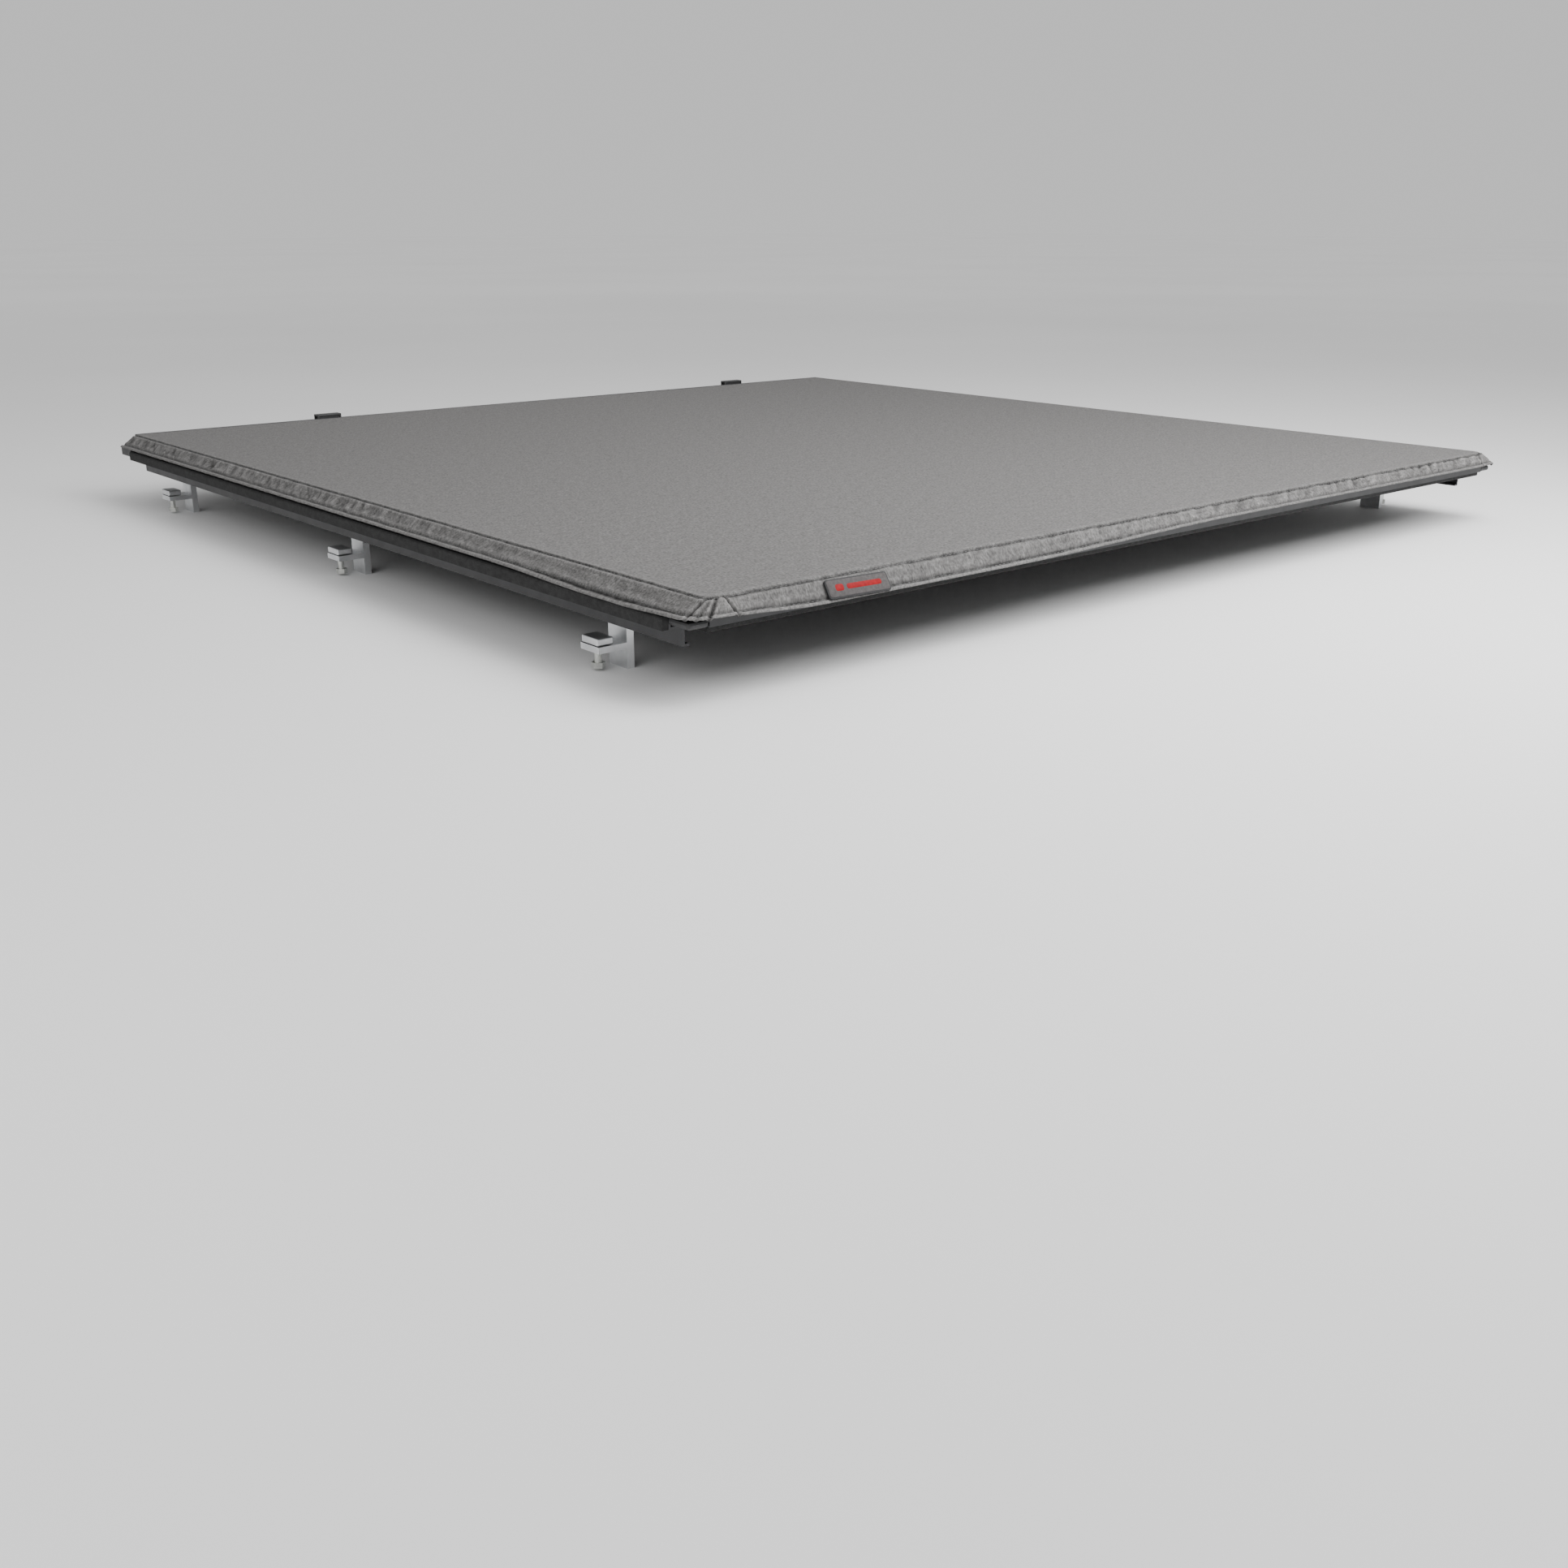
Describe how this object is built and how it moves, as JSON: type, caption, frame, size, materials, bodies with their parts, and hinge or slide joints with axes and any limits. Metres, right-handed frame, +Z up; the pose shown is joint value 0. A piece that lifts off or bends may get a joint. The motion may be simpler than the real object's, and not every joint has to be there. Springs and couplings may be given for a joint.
{
  "type": "soft roll-up tonneau cover",
  "caption": "Soft vinyl tonneau cover for a pickup bed: one sheet on clamped side rails that rolls up towards the cab, with bows, a latching rear bar and hold-down straps.",
  "frame": {"origin": "middle of the cover's outline seen from above, at the height of the clamps' feet", "axes": "+X to the truck's right, +Y towards the cab, +Z up, square to the shut cover"},
  "size_m": [1.584, 1.612, 0.112],
  "materials": {
    "vinyl": "canvas-grained coated vinyl, matt",
    "black_rail": "black powder coat",
    "mill": "mill finish",
    "nylon": "moulded nylon",
    "sponge": "sponge rubber",
    "webbing": "woven webbing",
    "loop": "hook-and-loop tape",
    "zinc": "zinc plated",
    "label": "sewn label, matt"
  },
  "bodies": {
    "root": {"cover_panel_00": "vinyl", "header_bar": "black_rail", "header_seal": "sponge", "header_end_left": "nylon", "header_end_right": "nylon", "side_rail_left": "black_rail", "side_rail_right": "black_rail", "loop_tape_left": "loop", "loop_tape_right": "loop", "rail_seal_left": "sponge", "rail_seal_right": "sponge", "strap_left": "webbing", "strap_right": "webbing", "striker_left": "zinc", "striker_right": "zinc", "clamp_body_1": "mill", "clamp_body_2": "mill", "clamp_body_3": "mill", "clamp_body_4": "mill", "clamp_body_5": "mill", "clamp_body_6": "mill"},
    "panel_01": {"cover_panel_01": "vinyl"},
    "panel_02": {"cover_panel_02": "vinyl", "bow_front": "mill"},
    "panel_03": {"cover_panel_03": "vinyl"},
    "panel_04": {"cover_panel_04": "vinyl"},
    "panel_05": {"cover_panel_05": "vinyl", "bow_middle": "mill"},
    "panel_06": {"cover_panel_06": "vinyl"},
    "panel_07": {"cover_panel_07": "vinyl"},
    "panel_08": {"cover_panel_08": "vinyl"},
    "panel_09": {"cover_panel_09": "vinyl", "bow_rear": "mill"},
    "panel_10": {"cover_panel_10": "vinyl"},
    "panel_11": {"cover_panel_11": "vinyl"},
    "panel_12": {"cover_panel_12": "vinyl"},
    "panel_13": {"cover_panel_13": "vinyl", "rear_label": "label", "rear_bar": "black_rail", "rear_seal": "sponge", "rear_bar_end_left": "nylon", "rear_bar_end_right": "nylon", "latch_case_left": "nylon", "latch_case_right": "nylon"},
    "latch_left": {"latch_bolt_left": "zinc"},
    "latch_right": {"latch_bolt_right": "zinc"},
    "buckle_left": {"buckle_left": "nylon"},
    "buckle_right": {"buckle_right": "nylon"},
    "jaw_1": {"clamp_jaw_1": "mill"},
    "bolt_1": {"clamp_bolt_1": "zinc"},
    "jaw_2": {"clamp_jaw_2": "mill"},
    "bolt_2": {"clamp_bolt_2": "zinc"},
    "jaw_3": {"clamp_jaw_3": "mill"},
    "bolt_3": {"clamp_bolt_3": "zinc"},
    "jaw_4": {"clamp_jaw_4": "mill"},
    "bolt_4": {"clamp_bolt_4": "zinc"},
    "jaw_5": {"clamp_jaw_5": "mill"},
    "bolt_5": {"clamp_bolt_5": "zinc"},
    "jaw_6": {"clamp_jaw_6": "mill"},
    "bolt_6": {"clamp_bolt_6": "zinc"}
  },
  "joints": [
    {"name": "roll_01", "type": "hinge", "parent": "root", "child": "panel_01", "pos_m": [0, 0.559, 0.106], "axis": [-1, 0, 0], "range_deg": [0, 72]},
    {"name": "roll_02", "type": "hinge", "parent": "panel_01", "child": "panel_02", "pos_m": [0, 0.41229, 0.106], "axis": [-1, 0, 0], "range_deg": [0, 72]},
    {"name": "roll_03", "type": "hinge", "parent": "panel_02", "child": "panel_03", "pos_m": [0, 0.27256, 0.106], "axis": [-1, 0, 0], "range_deg": [0, 72]},
    {"name": "roll_04", "type": "hinge", "parent": "panel_03", "child": "panel_04", "pos_m": [0, 0.13981, 0.106], "axis": [-1, 0, 0], "range_deg": [0, 72]},
    {"name": "roll_05", "type": "hinge", "parent": "panel_04", "child": "panel_05", "pos_m": [0, 0.01403, 0.106], "axis": [-1, 0, 0], "range_deg": [0, 72]},
    {"name": "roll_06", "type": "hinge", "parent": "panel_05", "child": "panel_06", "pos_m": [0, -0.10478, 0.106], "axis": [-1, 0, 0], "range_deg": [0, 72]},
    {"name": "roll_07", "type": "hinge", "parent": "panel_06", "child": "panel_07", "pos_m": [0, -0.21661, 0.106], "axis": [-1, 0, 0], "range_deg": [0, 72]},
    {"name": "roll_08", "type": "hinge", "parent": "panel_07", "child": "panel_08", "pos_m": [0, -0.32147, 0.106], "axis": [-1, 0, 0], "range_deg": [0, 72]},
    {"name": "roll_09", "type": "hinge", "parent": "panel_08", "child": "panel_09", "pos_m": [0, -0.41935, 0.106], "axis": [-1, 0, 0], "range_deg": [0, 72]},
    {"name": "roll_10", "type": "hinge", "parent": "panel_09", "child": "panel_10", "pos_m": [0, -0.51026, 0.106], "axis": [-1, 0, 0], "range_deg": [0, 72]},
    {"name": "roll_11", "type": "hinge", "parent": "panel_10", "child": "panel_11", "pos_m": [0, -0.59419, 0.106], "axis": [-1, 0, 0], "range_deg": [0, 72]},
    {"name": "roll_12", "type": "hinge", "parent": "panel_11", "child": "panel_12", "pos_m": [0, -0.67115, 0.106], "axis": [-1, 0, 0], "range_deg": [0, 72]},
    {"name": "roll_13", "type": "hinge", "parent": "panel_12", "child": "panel_13", "pos_m": [0, -0.718, 0.106], "axis": [-1, 0, 0], "range_deg": [0, 72]},
    {"name": "latch_left_slide", "type": "slide", "parent": "panel_13", "child": "latch_left", "axis": [-1, 0, 0], "range_m": [0, 0.014]},
    {"name": "latch_right_slide", "type": "slide", "parent": "panel_13", "child": "latch_right", "axis": [1, 0, 0], "range_m": [0, 0.014]},
    {"name": "buckle_left_fold", "type": "hinge", "parent": "root", "child": "buckle_left", "pos_m": [0, 0.804, 0.0925], "axis": [-1, 0, 0], "range_deg": [0, 75]},
    {"name": "buckle_right_fold", "type": "hinge", "parent": "root", "child": "buckle_right", "pos_m": [0, 0.804, 0.0925], "axis": [-1, 0, 0], "range_deg": [0, 75]},
    {"name": "clamp_1_close", "type": "slide", "parent": "root", "child": "jaw_1", "axis": [0, 0, 1], "range_m": [0, 0.012]},
    {"name": "clamp_1_screw", "type": "hinge", "parent": "jaw_1", "child": "bolt_1", "pos_m": [-0.7775, 0.6, 0.0221], "axis": [0, 0, 1], "range_deg": [0, 2161]},
    {"name": "clamp_2_close", "type": "slide", "parent": "root", "child": "jaw_2", "axis": [0, 0, 1], "range_m": [0, 0.012]},
    {"name": "clamp_2_screw", "type": "hinge", "parent": "jaw_2", "child": "bolt_2", "pos_m": [-0.7775, -0.01, 0.0221], "axis": [0, 0, 1], "range_deg": [0, 2161]},
    {"name": "clamp_3_close", "type": "slide", "parent": "root", "child": "jaw_3", "axis": [0, 0, 1], "range_m": [0, 0.012]},
    {"name": "clamp_3_screw", "type": "hinge", "parent": "jaw_3", "child": "bolt_3", "pos_m": [-0.7775, -0.62, 0.0221], "axis": [0, 0, 1], "range_deg": [0, 2161]},
    {"name": "clamp_4_close", "type": "slide", "parent": "root", "child": "jaw_4", "axis": [0, 0, 1], "range_m": [0, 0.012]},
    {"name": "clamp_4_screw", "type": "hinge", "parent": "jaw_4", "child": "bolt_4", "pos_m": [0.7775, 0.6, 0.0221], "axis": [0, 0, 1], "range_deg": [0, 2161]},
    {"name": "clamp_5_close", "type": "slide", "parent": "root", "child": "jaw_5", "axis": [0, 0, 1], "range_m": [0, 0.012]},
    {"name": "clamp_5_screw", "type": "hinge", "parent": "jaw_5", "child": "bolt_5", "pos_m": [0.7775, -0.01, 0.0221], "axis": [0, 0, 1], "range_deg": [0, 2161]},
    {"name": "clamp_6_close", "type": "slide", "parent": "root", "child": "jaw_6", "axis": [0, 0, 1], "range_m": [0, 0.012]},
    {"name": "clamp_6_screw", "type": "hinge", "parent": "jaw_6", "child": "bolt_6", "pos_m": [0.7775, -0.62, 0.0221], "axis": [0, 0, 1], "range_deg": [0, 2161]}
  ],
  "couplings": [
    {"joint": "roll_02", "follows": "roll_01", "ratio": 1},
    {"joint": "roll_03", "follows": "roll_01", "ratio": 1},
    {"joint": "roll_04", "follows": "roll_01", "ratio": 1},
    {"joint": "roll_05", "follows": "roll_01", "ratio": 1},
    {"joint": "roll_06", "follows": "roll_01", "ratio": 1},
    {"joint": "roll_07", "follows": "roll_01", "ratio": 1},
    {"joint": "roll_08", "follows": "roll_01", "ratio": 1},
    {"joint": "roll_09", "follows": "roll_01", "ratio": 1},
    {"joint": "roll_10", "follows": "roll_01", "ratio": 1},
    {"joint": "roll_11", "follows": "roll_01", "ratio": 1},
    {"joint": "roll_12", "follows": "roll_01", "ratio": 1},
    {"joint": "roll_13", "follows": "roll_01", "ratio": 1},
    {"joint": "clamp_1_screw", "follows": "clamp_1_close", "rad_per_m": 3141.6},
    {"joint": "clamp_2_screw", "follows": "clamp_2_close", "rad_per_m": 3141.6},
    {"joint": "clamp_3_screw", "follows": "clamp_3_close", "rad_per_m": 3141.6},
    {"joint": "clamp_4_screw", "follows": "clamp_4_close", "rad_per_m": 3141.6},
    {"joint": "clamp_5_screw", "follows": "clamp_5_close", "rad_per_m": 3141.6},
    {"joint": "clamp_6_screw", "follows": "clamp_6_close", "rad_per_m": 3141.6}
  ]
}
